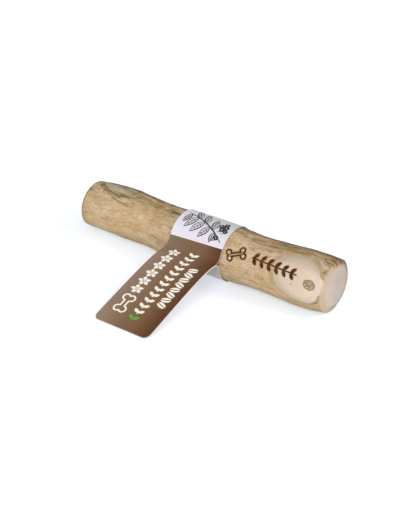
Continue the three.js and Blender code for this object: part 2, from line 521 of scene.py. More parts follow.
def insideBurntMark(along, turn):
    mark = burntMark
    u, v = turnedPlane(along - mark["rowAlong"], roundFrom(mark["rowTurn"], along, turn), mark["rowSlope"])
    rowLength = mark["pitch"] * mark["pairs"]
    inside = np.minimum(mark["stem"] - np.abs(v), rowLength / 2 - np.abs(u))
    spread = radians(mark["leafSpread"])
    out = mark["leafLength"] / 2 + mark["leafGap"]
    for k in range(mark["pairs"]):
        foot = (k + mark["firstFoot"]) * mark["pitch"] - rowLength / 2
        for side in (1, -1):
            middle = (foot + out * cos(spread), side * out * sin(spread))
            leaf = insideLeaf(u, v, middle, side * mark["leafSpread"], mark["leafLength"], mark["leafWidth"])
            inside = np.maximum(inside, leaf)
    x, y = turnedPlane(along - mark["boneAlong"], roundFrom(mark["boneTurn"], along, turn), mark["boneSlope"])
    halfStroke = mark["boneStroke"] / 2
    return np.maximum(inside, halfStroke - np.abs(insideBone(x, y) - halfStroke))


def ringPlaces():
    # along, how far the ring is drawn in by a bevel, and its share of the way out on an end face
    half = branch["length"] / 2
    plain, knotty = branch["plainBevel"], branch["knottyBevel"]
    underCard = card["width"] / 2 - branch["hiddenUnderCard"]
    far, near = card["along"] - underCard, card["along"] + underCard
    start, end = -half + plain["length"], half - knotty["length"]

    def endRings(side, bevel):
        # out over the end face, then down the bevel
        shares = np.linspace(0, 1, branch["endRings"] + 1)[1:-1]
        rings = [(side * half, bevel["depth"], share) for share in shares]
        for share in np.linspace(1, 0, branch["bevelRings"] + 1)[:-1]:
            inwards = bevel["length"] * (1 - share)
            rings.append((side * (half - inwards), bevel["depth"] * share ** branch["bevelRoundness"], 1))
        return rings

    body = []
    for low, high, step in ((start, far, branch["step"]), (far, near, branch["stepUnderCard"]),
                            (near, end, branch["step"])):
        body.extend(np.linspace(low, high, round((high - low) / step) + 1)[:-1])
    body = [(along, 0, 1) for along in (*body, end)]
    return np.array(endRings(-1, plain) + body + endRings(1, knotty)[::-1])


def branchPoints(along, turn, reach, share):
    y = branchValue("aside", along) - reach * share * np.cos(turn)
    z = branchValue("clear", along) + branchValue("radius", along) + reach * share * np.sin(turn)
    return np.stack(np.broadcast_arrays(along, y, z), -1)


def sideShift(rings, turn):
    # how far the solids were moved sideways to bring the origin under the middle of the whole
    along, shrink = rings[:, :1], rings[:, 1:2]
    reach = branchValue("radius", along) + outOfRound(along, turn) - shrink
    own = branchPoints(along, turn, reach, 1)[..., 1]
    low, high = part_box("stick")
    return (low.y + high.y) / 2 / mm - (own.min() + own.max()) / 2


branchRings = ringPlaces()
branchTurns = np.arange(branch["pointsRound"])[None, :] * 2 * pi / branch["pointsRound"]
branchShift = sideShift(branchRings, branchTurns)


def fibreTurn(along, turn):
    # the fibres swerve round the cut and the scar, and wander a little
    bent = turn + relief["twist"] * along
    for oval in ovals.values():
        v, share = onOval(oval, along, turn)
        pushed = np.exp(-relief["swerveReach"] * np.maximum(share ** 2 - 1, 0))
        bent = bent - oval["swerve"] * pushed * v / branchValue("radius", along)
    return bent


def makeStick():
    turn = branchTurns
    along, shrink, share = branchRings[:, :1], branchRings[:, 1:2], branchRings[:, 2:3]
    radius = branchValue("radius", along)
    alongAll = np.broadcast_to(along, (len(branchRings), branch["pointsRound"]))
    fibres, grainRadius = fibreTurn(along, turn), relief["grainRadius"]
    grainPlace = np.stack([alongAll, grainRadius * np.cos(fibres), grainRadius * np.sin(fibres)], -1)

    # millimetres inside the edges of the cut, the scar and the burnt mark
    wobble = noiseAt(grainPlace, "edges")
    (cutRound, cutShare), (_, scarShare) = (onOval(ovals[name], along, turn) for name in ("cut", "scar"))
    cutInside = (1 - cutShare) * ovals["cut"]["halfWidth"] + wobble
    cutInside = np.maximum(cutInside, insideRunOut(along, turn) + wobble)
    scarInside = (1 - scarShare) * ovals["scar"]["halfWidth"] + wobble * relief["scarUnevenness"]
    burntInside = insideBurntMark(along, turn)
    uncut = 1 - smooth(cutInside, -0.2, 0.5)
    grown = uncut * (1 - relief["scarSmoothing"] * smooth(scarInside, -0.2, 0.8))

    height = noiseAt(grainPlace, "lumps") + noiseAt(grainPlace, "knobs")
    height *= fadeFromCard(along) * uncut
    height += (noiseAt(grainPlace, "ridges") + noiseAt(grainPlace, "hairs")) * grown
    creaseShade, pitShade = np.zeros_like(alongAll), np.zeros_like(alongAll)
    # each crease is cut into the wood and gets a painted shade, darker the deeper it is
    for points, depth, halfWidth in creases:
        groove = np.exp(-(distanceToLine(along, turn, points) / halfWidth) ** 2) * uncut
        height -= depth * groove
        creaseShade = np.maximum(creaseShade, groove * min(1, depth / relief["darkCrease"]))
    # each small hole is cut into the wood and gets a painted shade
    for pitAlong, pitTurn, size, depth in pits:
        hole = np.exp(-(np.hypot(along - pitAlong, roundFrom(pitTurn, along, turn)) / size) ** 2)
        height -= depth * hole
        pitShade = np.maximum(pitShade, hole)
    height -= relief["cutDepth"] * np.maximum(0, 1 - cutShare ** 2)
    height -= relief["cutStep"] * smooth(cutInside, 0, 0.5)
    height -= relief["scarDepth"] * np.maximum(0, 1 - scarShare ** 2)
    height += relief["scarLip"] * np.exp(-(scarInside / relief["scarLipWidth"]) ** 2)
    height -= relief["burnDepth"] * smooth(burntInside, -0.15, 0.3)

    edgeReach = radius + outOfRound(along, turn) - shrink
    onEndFace = share < 1
    points = branchPoints(along, turn, np.where(onEndFace, edgeReach, edgeReach + height), share)
    beyondEnd = -np.abs(np.abs(alongAll) - branch["length"] / 2)
    endInside = np.where(onEndFace, (1 - share) * edgeReach, beyondEnd)
    points[..., 0] += np.where(onEndFace, noiseAt(points, "saw"), 0)
    points[..., 1] += branchShift
    points[..., 2] = np.maximum(points[..., 2], 0)

    corners = np.arange(alongAll.size).reshape(alongAll.shape)
    nextRound = np.roll(corners, -1, axis=1)
    quads = np.stack([corners[:-1], corners[1:], nextRound[1:], nextRound[:-1]], -1).reshape(-1, 4).tolist()
    vertices = np.vstack([points.reshape(-1, 3), points[0].mean(0), points[-1].mean(0)]) * mm
    plainMiddle, knottyMiddle = alongAll.size, alongAll.size + 1
    fans = [(plainMiddle, a, b) for a, b in zip(corners[0].tolist(), nextRound[0].tolist())]
    fans += [(knottyMiddle, b, a) for a, b in zip(corners[-1].tolist(), nextRound[-1].tolist())]
    mesh = bpy.data.meshes.new("stick_wood")
    mesh.from_pydata(vertices.tolist(), [], quads + fans)

    offShadeStrip = wrapped(turn - radians(branch["shadeStripTurn"])) / radians(branch["shadeStripWidth"])
    shades = {
        "grainPlace": grainPlace,
        "facePlace": np.stack([alongAll, cutRound, alongAll * 0], -1),
        "cutInside": cutInside,
        "scarInside": scarInside,
        "burntInside": burntInside,
        "endInside": endInside,
        "crease": creaseShade,
        "pit": pitShade,
        "topSide": np.maximum(0, np.cos(turn - radians(branch["weatheredAndShadedTurn"]))) ** 3,
        # a strip of painted shade along the top: sharp towards the front, fading slowly towards the back
        "paintedShadeStrip": np.where(offShadeStrip < 0, np.exp(-offShadeStrip ** 6),
                               np.exp(-(offShadeStrip / branch["shadeStripFade"]) ** 2)),
        # the side turned away from the light, for painted shade on the ends
        "farSide": smooth(-np.cos(turn - radians(branch["brightTurn"])), -0.15, 0.4),
        # painted shade and sheen: a little from the sides down, and most of it underneath
        "underSide": 0.25 * smooth(-np.sin(turn), -0.45, 0) + 0.75 * smooth(-np.sin(turn), 0.2, 0.9),
    }
    for name, spots in tints.items():
        shades[name] = np.zeros_like(alongAll)
        for spotAlong, spotTurn, halfLength, halfWidth, strength in spots:
            u, v = (along - spotAlong) / halfLength, roundFrom(spotTurn, along, turn) / halfWidth
            shades[name] = np.maximum(shades[name], strength * np.exp(-u ** 2 - v ** 2))
    for name, values in shades.items():
        isPlace = values.ndim == 3
        flat = values.reshape(-1, 3) if isPlace else np.broadcast_to(values, alongAll.shape).reshape(-1)
        full = np.concatenate([flat, flat[:1], flat[-1:]]).astype(np.float32)
        made = mesh.attributes.new(name, "FLOAT_VECTOR" if isPlace else "FLOAT", "POINT")
        made.data.foreach_set("vector" if isPlace else "value", full.ravel())
    mesh.shade_smooth()
    return addObject("stick_wood", mesh)


woodLooks = {
    "tanDark": (189, 159, 114),
    "tan": (201, 172, 131),
    "tanPale": (208, 182, 144),
    "tanBright": (217, 195, 163),
    "ochre": (206, 164, 92),
    "pink": (216, 186, 163),
    "olive": (136, 118, 80),
    "rust": (158, 94, 42),
    # dark grain lines, and the painted shade in the creases
    "grainLineAndCreaseShade": (104, 80, 50),
    # painted shade in the small holes
    "paintedHoleShade": (74, 54, 34),
    # greyer wood on top, darkened further as painted shade
    "weatheredAndShadedTop": (204, 204, 186),
    # painted shade underneath, and the painted sheen of the pale floor on the lowest part
    "shaded": (187, 184, 172),
    "paintedFloorSheen": (168, 160, 141),
    "cut": (217, 197, 173),
    "cutPink": (224, 204, 185),
    "cutGrey": (200, 184, 161),
    # painted shade just outside the cut's edge
    "cutRim": (150, 130, 100),
    "knot": (112, 90, 62),
    "knotPale": (180, 156, 122),
    "scar": (178, 168, 150),
    "scarRim": (120, 100, 64),
    "sawnEnd": (191, 175, 161),
    "endBevel": (192, 168, 142),
    "burnt": (76, 44, 14),
    "scorched": (146, 104, 62),
}
tintShares = {"ochre": 0.65, "pink": 0.85, "olive": 0.8, "rust": 1.7}
pinKnot = {"along": 67.6, "aside": -1.9, "turned": -20, "halfLength": 3.2, "halfWidth": 2.8, "ringAt": 0.86}

# Noises: stretch, seed, detail, roughness and distortion
grainNoises = {
    "patches": ((0.085, 0.2, 0.2), 4, 5, 0.6),
    "mottled": ((0.2, 0.6, 0.6), 9, 4, 0.6),
    "warm": ((0.06, 0.3, 0.3), 15),
    "rosy": ((0.1, 0.3, 0.3), 18),
    "cells": ((0.2, 0.42, 0.42), 12, 2, 0.5, 1.2),
    "fibres": ((0.24, 0.9, 0.9), 21, 5, 0.68, 0.5),
    "hairs": ((0.5, 2.0, 2.0), 33, 2, 0.6),
    "grains": ((1.0, 1.7, 1.7), 37, 2, 0.6),
    "cracks": ((0.06, 0.42, 0.42), 41, 3, 0.55, 1.0),
    "breaks": ((0.14, 0.35, 0.35), 52, 2),
    "dashes": ((0.2, 1.0, 1.0), 47, 2),
    "streaks": ((0.1, 0.55, 0.55), 57, 4, 0.6),
    "bevel": ((0.3, 0.35, 0.35), 81, 4),
}
cutNoises = {
    "clouds": ((0.09, 0.16, 0.16), 61),
    "grain": ((0.45, 1.1, 1.1), 66, 4, 0.7),
    "knot": ((0.9, 0.9, 0.9), 71, 4, 0.7),
}
endNoises = {
    "clouds": ((0, 160, 160), 83, 2),
    "saw": ((0, 300, 800), 85, 5, 0.65),
}


def makeWood():
    material, tree, shader = startMaterial("peeled_wood")
    tone = {name: colour(*value) for name, value in woodLooks.items()}
    place = readAttribute(tree, "grainPlace", "Vector")
    along = splitVector(place)["X"]
    topSide = readAttribute(tree, "topSide")
    grain = noisesOn(place, grainNoises)
    mottled = grain["mottled"]

    base = colourStops(grain["patches"], [(0.34, tone["tanDark"]), (0.46, tone["tan"]),
                                          (0.57, tone["tanPale"]), (0.69, tone["tanBright"])])
    for name, share in tintShares.items():
        spot = times(readAttribute(tree, name), softStep(mottled, 0.32, 0.6, 0.3, 1.3), share)
        base = mixColours(spot, base, tone[name])
    base = tinted(base, tone["ochre"], grain["warm"], 0.54, 0.72, 0, 0.25)
    base = tinted(base, tone["pink"], grain["rosy"], 0.54, 0.7, 0, 0.5)
    # small cells of paler and yellower wood, then finer and finer grain
    base = tinted(base, tone["tanBright"], grain["cells"], 0.53, 0.6, 0, 0.5)
    base = tinted(base, tone["ochre"], grain["cells"], 0.46, 0.38, 0, 0.36)
    base = shaded(base, grain["fibres"], 0.3, 0.66, 0.87, 1.08)
    base = shaded(base, grain["hairs"], 0.3, 0.7, 0.88, 1.09)
    base = shaded(base, grain["grains"], 0.3, 0.7, 0.88, 1.1)

    # dark cracks where a stretched noise crosses its middle, mostly on top, and short dashes everywhere
    offMiddle = calculate("ABSOLUTE", minus(grain["cracks"], 0.5))
    cracks = times(softStep(offMiddle, 0, 0.05, 1, 0), softStep(grain["breaks"], 0.48, 0.56),
                   softStep(topSide, 0.02, 0.6, 0.3, 1.0))
    marks = calculate("MAXIMUM", cracks, softStep(grain["dashes"], 0.64, 0.72, 0, 0.4))
    base = mixColours(marks, base, tone["grainLineAndCreaseShade"])

    # greyer wood on top with painted shade over it, painted shade and a painted sheen of the pale floor
    # underneath, painted shade round the plain end
    underSide = readAttribute(tree, "underSide")
    base = mixColours(topSide, base, shaded(base, grain["streaks"], 0.4, 0.6, 0.8, 1.16))
    # painted shade over the top, with the greyer tone
    base = mixColours(times(topSide, 0.6), base, tone["weatheredAndShadedTop"], "MULTIPLY")
    # painted shade underneath, then a painted sheen of the pale floor on the lowest part
    base = mixColours(underSide, base, tone["shaded"], "MULTIPLY")
    base = tinted(base, tone["paintedFloorSheen"], underSide, 0.55, 0.9, 0, 0.32)
    # painted shade round the plain end, darkest at its edge on top
    base = shaded(base, along, -75.5, -66.0, 0.86, 1.0)
    base = shaded(base, along, -73.2, -71.6, 0.74, 1.0)
    base = shaded(base, along, -74.0, -71.2, softStep(topSide, 0, 0.25, 1.0, 0.6), 1.0)
    # painted shade in the creases, darker where they are deeper
    paintedCreaseShade = times(readAttribute(tree, "crease"), softStep(mottled, 0.35, 0.6, 0.35, 0.78))
    base = mixColours(paintedCreaseShade, base, tone["grainLineAndCreaseShade"])

    # the scar at the plain end keeps its grain under a grey bloom
    scar = unevenly(readAttribute(tree, "scarInside"), mottled, 3.0)
    scarRim = times(softStep(scar, -1.6, -0.1), softStep(scar, 0.2, 1.2, 1, 0),
                    softStep(mottled, 0.35, 0.6, 0.15, 0.7))
    base = tinted(base, tone["scar"], scar, -0.1, 1.6, 0, 0.5)
    base = mixColours(scarRim, base, tone["scarRim"])

    # painted shade along a strip on top, in patches
    stripShade = times(readAttribute(tree, "paintedShadeStrip"), softStep(mottled, 0.36, 0.6, 0.68, 0.4))
    base = scaled(base, minus(1.0, stripShade))

    # the side branch cut flush: greyer near the top, pinker towards the end
    cut = readAttribute(tree, "cutInside")
    facePlace = readAttribute(tree, "facePlace", "Vector")
    onCut = noisesOn(facePlace, cutNoises)
    # painted shade on the wood just outside the cut's edge
    rim = times(softStep(cut, -2.2, -0.05), softStep(cut, -0.05, 0.2, 1, 0), 0.42)
    base = mixColours(rim, base, tone["cutRim"])
    cutTone = tinted(tone["cut"], tone["cutPink"], timesPlus(onCut["clouds"], 12.0, along), 66.0, 76.0)
    faceUp = timesPlus(onCut["clouds"], 5.0, splitVector(facePlace)["Y"])
    cutTone = tinted(cutTone, tone["cutGrey"], faceUp, 6.0, 11.0)
    cutTone = shaded(cutTone, onCut["grain"], 0.3, 0.7, 0.95, 1.035)
    # painted shade inside the cut near its edge, strongest towards the plain end
    cutTone = shaded(cutTone, cut, -0.5, 4.5, softStep(along, 67.0, 73.0, 0.74, 1.0), 1.0)
    base = tinted(base, cutTone, cut, -0.3, 0.5, 0, 0.93)

    # a small knot in it, with a dark ring and a patchy heart
    knotPlace = addNode(tree, "ShaderNodeMapping", 0, {
        "Vector": facePlace,
        "Location": (pinKnot["along"], pinKnot["aside"], 0),
        "Rotation": (0, 0, radians(pinKnot["turned"])),
        "Scale": (pinKnot["halfLength"], pinKnot["halfWidth"], 1),
    }, vector_type="TEXTURE")
    fromKnot = addNode(tree, "ShaderNodeVectorMath", "Value", {0: knotPlace}, operation="LENGTH")
    fromKnot = unevenly(fromKnot, onCut["knot"], 0.3)
    offRing = calculate("ABSOLUTE", minus(fromKnot, pinKnot["ringAt"]))
    heart = times(softStep(fromKnot, 0.78, 0.9, 1, 0), softStep(onCut["knot"], 0.47, 0.56, 0.05, 0.85))
    base = tinted(base, tone["knotPale"], fromKnot, 0.8, 1.0, 0.75, 0)
    ringAndHeart = calculate("MAXIMUM", softStep(offRing, 0.03, 0.14, 0.85, 0), heart)
    base = mixColours(ringAndHeart, base, tone["knot"])

    # sawn ends: faint rings and clouds, and a soft bevel, paler at the knotty end
    end = readAttribute(tree, "endInside")
    farSide = readAttribute(tree, "farSide")
    objectPlace = addNode(tree, "ShaderNodeTexCoord", "Object", {})
    onEnd = noisesOn(objectPlace, endNoises)
    rings = calculate("SINE", timesPlus(end, 4.2, times(onEnd["clouds"], 9.0)))
    endTone = shaded(tone["sawnEnd"], onEnd["clouds"], 0.3, 0.7, 0.95, 1.05)
    endTone = shaded(endTone, onEnd["saw"], 0.25, 0.75, 0.97, 1.03)
    endTone = shaded(endTone, rings, -1.0, 1.0, 0.975, 1.015)
    # darker towards the back, then painted shade on the face's edge on the side turned from the light
    endTone = shaded(endTone, splitVector(objectPlace)["Y"], 0.018, 0.042, 1.05, 0.86)
    endTone = scaled(endTone, minus(1.0, times(farSide, softStep(end, 0, 1.4, 0.42, 0))))
    # painted shade on the bevel's side turned from the light
    bevelTone = shaded(tone["endBevel"], farSide, 0, 1.0, 1.0, 0.8)
    bevelStart = plus(unevenly(end, grain["bevel"], 0.8), softStep(topSide, 0, 0.7, 0.5, -0.7))
    bevelStrength = softStep(along, -10.0, 10.0, 0.25, 0.85)
    base = tinted(base, bevelTone, bevelStart, -1.2, -0.3, 0, bevelStrength)
    base = tinted(base, endTone, end, -0.4, 1.2)

    # painted shade in the small holes, and the burnt mark
    base = tinted(base, tone["paintedHoleShade"], readAttribute(tree, "pit"), 0.35, 0.8, 0, 0.8)
    burnt = unevenly(readAttribute(tree, "burntInside"), grain["hairs"], 0.3)
    base = tinted(base, tone["scorched"], burnt, -0.4, 0.05, 0, 0.55)
    base = tinted(base, shaded(tone["burnt"], mottled, 0.35, 0.65, 0.55, 1.7), burnt, -0.1, 0.12)

    height = minus(timesPlus(grain["hairs"], 0.5, grain["fibres"]), times(marks, 0.6))
    flatCut = softStep(cut, -0.2, 0.4, 1, 0.15)
    setInputs(shader, {
        "Base Color": base,
        "Roughness": softStep(grain["fibres"], 0.3, 0.7, 0.68, 0.56),
        "Specular IOR Level": 0.14,
        "Normal": bump(times(height, flatCut), 0.6, 0.14),
    })
    return material


stick = makeStick()
stick.data.materials.append(makeWood())
print("stick made:", len(stick.data.polygons), "faces")


# The strip's path, seen end on: x towards the front and y up from the band's middle
def arc(centre, radius, start, end):
    steps = max(4, round(abs(end - start) / card["bendStep"]))
    angle = np.radians(np.linspace(start, end, steps + 1))
    return np.stack([centre[0] + radius * np.cos(angle), centre[1] + radius * np.sin(angle)], -1)


def bendCentre(radius, side):
    y = card["tagHeight"] + side * (card["thickness"] + radius)
    outer = card["bandInner"] + card["thickness"]
    return np.array([sqrt((outer + radius) ** 2 - y * y), y])


def tagStations():
    # runs back from the tag's end: close together round its corners, then even
    slope = radians(card["tagSlope"])
    corner = card["cornerRadius"] * (1 - np.cos(np.linspace(0, pi / 2, card["cornerSteps"] + 1)))
    corner = corner / cos(slope)
    rest = np.arange(corner[-1] + card["step"], card["tagLength"], card["step"])
    return card["tagLength"] - np.concatenate([corner, rest, [card["tagLength"]]])


def tagLine(runs, foot):
    # the tag's middle line, level at its foot and soon at its full slope
    fine = np.linspace(0, card["tagLength"], card["droopPoints"])
    slope = radians(card["tagSlope"]) * (1 - np.exp(-fine / card["droopLength"]))
    between = (slope[1:] + slope[:-1]) / 2
    x = foot + np.concatenate([[0], np.cumsum(np.cos(between) * fine[1])])
    y = card["tagHeight"] - np.concatenate([[0], np.cumsum(np.sin(between) * fine[1])])
    at = np.interp(runs, fine, slope)
    across = np.stack([np.sin(at), np.cos(at)], -1)
    return np.stack([np.interp(runs, fine, x), np.interp(runs, fine, y)], -1), across


def stripPath():
    # the printed face: tag end, upper bend, round the band, lower bend, tag end
    outer = card["bandInner"] + card["thickness"]
    upper, lower = bendCentre(card["upperBend"], 1), bendCentre(card["lowerBend"], -1)
    upperTurn = np.degrees(atan2(upper[1], upper[0]))
    lowerTurn = np.degrees(atan2(lower[1], lower[0]))
    foot = max(upper[0], lower[0])
    line, across = tagLine(tagStations(), foot)
    upperArc = arc(upper, card["upperBend"], 270, 180 + upperTurn)
    band = arc((0, 0), outer, upperTurn, 360 + lowerTurn)
    lowerArc = arc(lower, card["lowerBend"], 180 + lowerTurn, 90)
    top, under = line + across * card["thickness"], (line - across * card["thickness"])[::-1]
    points = np.concatenate([top, upperArc[1:], band[1:], lowerArc[1:], under[1:]])
    run = np.concatenate([[0], np.cumsum(np.hypot(*np.diff(points, axis=0).T))])
    return points, run, foot


stripPoints, stripRun, tagFoot = stripPath()


def runAtTurn(degrees):
    # where along the strip the band passes a turn
    outer = card["bandInner"] + card["thickness"]
    spot = (outer * cos(radians(degrees)), outer * sin(radians(degrees)))
    return float(stripRun[np.hypot(*(stripPoints - spot).T).argmin()])


def joinVector(tree, **parts):
    return addNode(tree, "ShaderNodeCombineXYZ", 0, parts)


def rotationFrom(tree, angle):
    return addNode(tree, "FunctionNodeEulerToRotation", 0, {0: joinVector(tree, Z=angle)})


def bendingTree():
    # carries a flat layout onto the card: run along x, towards the plain end along y, lift along z
    tree, given = startTree("bend onto card", [
        ("Flat", "Geometry"), ("Path", "Object"), ("Foot", "Float"), ("Lean", "Float"), ("Flare", "Float"),
        ("Place", "Vector"), ("Turned", "Float"), ("Printed", "Material"), ("Edges", "Material"),
    ])
    run, towardsPlain, lift = splitVector(addNode(tree, "GeometryNodeInputPosition", 0, {}))
    across = times(towardsPlain, -1.0)
    printPlace = scaled(joinVector(tree, X=across, Y=run, Z=lift), 1 / mm)
    marked = addNode(tree, "GeometryNodeStoreNamedAttribute", 0,
                     {"Geometry": given["Flat"], "Name": "printPlace", "Value": printPlace},
                     data_type="FLOAT_VECTOR", domain="POINT")

    sample = tree.nodes.new("GeometryNodeSampleCurve")
    sample.mode = "LENGTH"
    path = addNode(tree, "GeometryNodeObjectInfo", "Geometry", {"Object": given["Path"]})
    setInputs(sample, {"Curves": path, "Length": run})
    outwards = addNode(tree, "ShaderNodeVectorMath", 0, {0: (1, 0, 0), 1: sample.outputs["Tangent"]},
                       operation="CROSS_PRODUCT")
    bent = splitVector(addNode(tree, "ShaderNodeVectorMath", 0,
                               {0: sample.outputs["Position"], 1: scaled(outwards, lift)}, operation="ADD"))
    # the tag leans and widens from its foot on
    out = calculate("MAXIMUM", minus(times(bent["Y"], -1.0), given["Foot"]), 0.0)
    leaning = times(out, calculate("TANGENT", given["Lean"]))
    sideways = timesPlus(across, timesPlus(out, given["Flare"], 1.0), leaning)
    moved = addNode(tree, "GeometryNodeSetPosition", 0,
                    {"Geometry": marked, "Position": joinVector(tree, X=sideways, Y=bent["Y"], Z=bent["Z"])})
    standing = addNode(tree, "GeometryNodeTransform", 0, {
        "Geometry": moved,
        "Translation": given["Place"],
        "Rotation": rotationFrom(tree, given["Turned"]),
    })
    isPrinted = addNode(tree, "GeometryNodeInputNamedAttribute", 0, {"Name": "printed"}, data_type="BOOLEAN")
    return finishTree(tree, standing, [(True, given["Edges"]), (isPrinted, given["Printed"])])


def makePath():
    # the printed face's line, for the flat card to follow
    curve = bpy.data.curves.new("card_path", "CURVE")
    curve.dimensions = "3D"
    spline = curve.splines.new("POLY")
    spline.points.add(len(stripPoints) - 1)
    front, up = stripPoints.T * mm
    spline.points.foreach_set("co", np.stack([front * 0, -front, up, front * 0 + 1], -1).ravel())
    return addObject("card_path", curve)


cardPath = makePath()
cardBending = bendingTree()


def bendOntoCard(flat, name, printedMaterial, edgeMaterial):
    return applyTree(flat, cardBending, {
        "Path": cardPath,
        "Foot": tagFoot * mm,
        "Lean": radians(card["lean"]),
        "Flare": 2 * card["flare"] / (card["width"] * card["tagLength"]) / mm,
        "Place": [value * mm for value in (card["along"], card["aside"] + branchShift, card["up"])],
        "Turned": radians(card["turned"]),
        "Printed": printedMaterial,
        "Edges": edgeMaterial,
    }, name)


def halfWidthAt(front):
    # narrower at the tag's end, where the corners are rounded
    radius = card["cornerRadius"]
    fromEnd = np.clip(stripPoints[:, 0].max() - front, 0, radius)
    return card["width"] / 2 - radius + np.sqrt(np.maximum(0, radius ** 2 - (radius - fromEnd) ** 2))


def makeFlatStrip():
    share = np.linspace(-1, 1, card["columns"] + 1)[None, :]
    run = stripRun[:, None] + share * 0
    top = np.stack([run, halfWidthAt(stripPoints[:, :1]) * share, run * 0], -1)
    front = np.arange(run.size).reshape(run.shape)
    back = front + run.size
    faces = []

    def addGrid(a, b):
        # quads between two neighbouring lines of points
        faces.extend(np.stack([a[:-1], a[1:], b[1:], b[:-1]], -1).reshape(-1, 4).tolist())

    for c in range(card["columns"]):
        addGrid(front[:, c], front[:, c + 1])
    printedCount = len(faces)
    for c in range(card["columns"]):
        addGrid(back[:, c + 1], back[:, c])
    addGrid(back[:, 0], front[:, 0])
    addGrid(front[:, -1], back[:, -1])
    addGrid(front[0], back[0])
    addGrid(back[-1], front[-1])
    vertices = np.concatenate([top, top - (0, 0, card["stock"])]).reshape(-1, 3) * mm
    mesh = bpy.data.meshes.new("flat_strip")
    mesh.from_pydata(vertices.tolist(), [], faces)
    mesh.shade_smooth()
    printed = mesh.attributes.new("printed", "BOOLEAN", "FACE")
    printed.data.foreach_set("value", [index < printedCount for index in range(len(faces))])
    border = {index for line in (front[:, 0], front[:, -1], front[0], front[-1]) for index in line.tolist()}
    border |= {index + run.size for index in border}
    sharp = mesh.attributes.new("sharp_edge", "BOOLEAN", "EDGE")
    sharp.data.foreach_set("value", [border.issuperset(edge.vertices) for edge in mesh.edges])
    return addObject("flat_strip", mesh)


printLooks = {
    "border": 62.1,  # run where the brown ends and the white begins
    "borderSlant": 0.045,
    "borderLine": 0.06,
    "borderBlur": 0.15,
    "underBrown": 52.0,
    "brownPale": (145, 121, 98),
    "brown": (126, 94, 64),
    "brownDeep": (94, 55, 26),
    "white": (236, 230, 242),
    # painted shade over the top of the band, and under the stick
    "whiteShade": (196, 199, 200),
    "whiteUnder": (172, 168, 164),
    "cream": (255, 248, 236),
    "core": (222, 210, 200),
    "green": (98, 168, 66),
    "ink": (36, 39, 40),
}
printNoises = {
    "clouds": ((0.07, 0.05, 1), 2, 2),
    "grain": ((3.0, 3.0, 1), 6),
}
coreNoise = ((2.0, 2.0, 1), 12, 4)
inkNoise = ((2500, 2500, 2500), 1)


def makePrintedCard():
    material, tree, shader = startMaterial("printed_card")
    tone = {name: colour(*value) for name, value in printLooks.items() if isinstance(value, tuple)}
    place = readAttribute(tree, "printPlace", "Vector")
    across, run, _ = splitVector(place)
    half = card["width"] / 2
    onPrint = noisesOn(place, printNoises)

    # brown tag, darker towards the knotty side
    drift = unevenly(across, onPrint["clouds"], 6.0)
    # painted shade where the tag starts to bend up, and a painted highlight towards the tag's end
    pale = shaded(tone["brownPale"], run, 47.0, 54.0, 1.0, 0.8)
    pale = shaded(pale, run, 0, 14.0, 1.14, 1.0)
    brown = tinted(pale, tone["brown"], drift, -half, 2.0)
    brown = tinted(brown, tone["brownDeep"], drift, 2.0, half)

    # white band, with painted shade over the top and under the stick
    white = shaded(tone["white"], onPrint["grain"], 0.3, 0.7, 0.985, 1.01)
    greyer = times(softStep(run, runAtTurn(30), runAtTurn(115)), softStep(across, -half, 8.0, 0.5, 1.0))
    white = mixColours(greyer, white, tone["whiteShade"])
    # painted shade on the band under the stick, below the tag
    white = tinted(white, tone["whiteUnder"], run, runAtTurn(250), runAtTurn(300))

    past = minus(run, timesPlus(across, printLooks["borderSlant"], printLooks["border"]))
    lineEdge = printLooks["borderLine"] + printLooks["borderBlur"]
    underStart = stripRun[-1] - printLooks["underBrown"]
    base = tinted(brown, white, past, -0.08, 0.08)
    base = tinted(base, brown, run, underStart, underStart + 0.2)
    base = tinted(base, tone["cream"], calculate("ABSOLUTE", past), printLooks["borderLine"], lineEdge, 1, 0)
    setInputs(shader, {
        "Base Color": base,
        "Roughness": softStep(onPrint["grain"], 0.3, 0.7, 0.5, 0.42),
        "Specular IOR Level": 0.4,
        "Normal": bump(onPrint["grain"], 0.25, 0.02),
    })
    return material


def makeCardCore():
    material, tree, shader = startMaterial("card_core")
    pulp = noiseOn(readAttribute(tree, "printPlace", "Vector"), *coreNoise)
    setInputs(shader, {
        "Base Color": shaded(colour(*printLooks["core"]), pulp, 0.3, 0.7, 0.95, 1.02),
        "Roughness": 0.85,
        "Normal": bump(pulp, 0.3, 0.03),
    })
    return material


strip = bendOntoCard(makeFlatStrip(), "card_strip", makePrintedCard(), makeCardCore())
print("card strip made:", len(strip.data.polygons), "faces")

# Print on the card: thin slabs of ink laid out flat, then bent with the card.
# On the flat layout x is the run from the tag's end and y is across towards the plain end.
inkLayer = {
    "top": 0.022,
    "foot": -0.06,
    "scoreStep": 0.5,
    "strokeLift": 0.0004,  # each pen stroke lies a little over the one before
}


def addWall(mesh, a, b):
    # faces between two loops of corners
    for k in range(len(a)):
        following = (k + 1) % len(a)
        mesh.faces.new((a[k], a[following], b[following], b[k]))


def addSlab(mesh, outline):
    # a closed slab from an outline that runs anticlockwise
    high = [mesh.verts.new((x, y, inkLayer["top"])) for x, y in outline]
    low = [mesh.verts.new((x, y, inkLayer["foot"])) for x, y in outline]
    mesh.faces.new(high)
    mesh.faces.new(low[::-1])
    addWall(mesh, low, high)


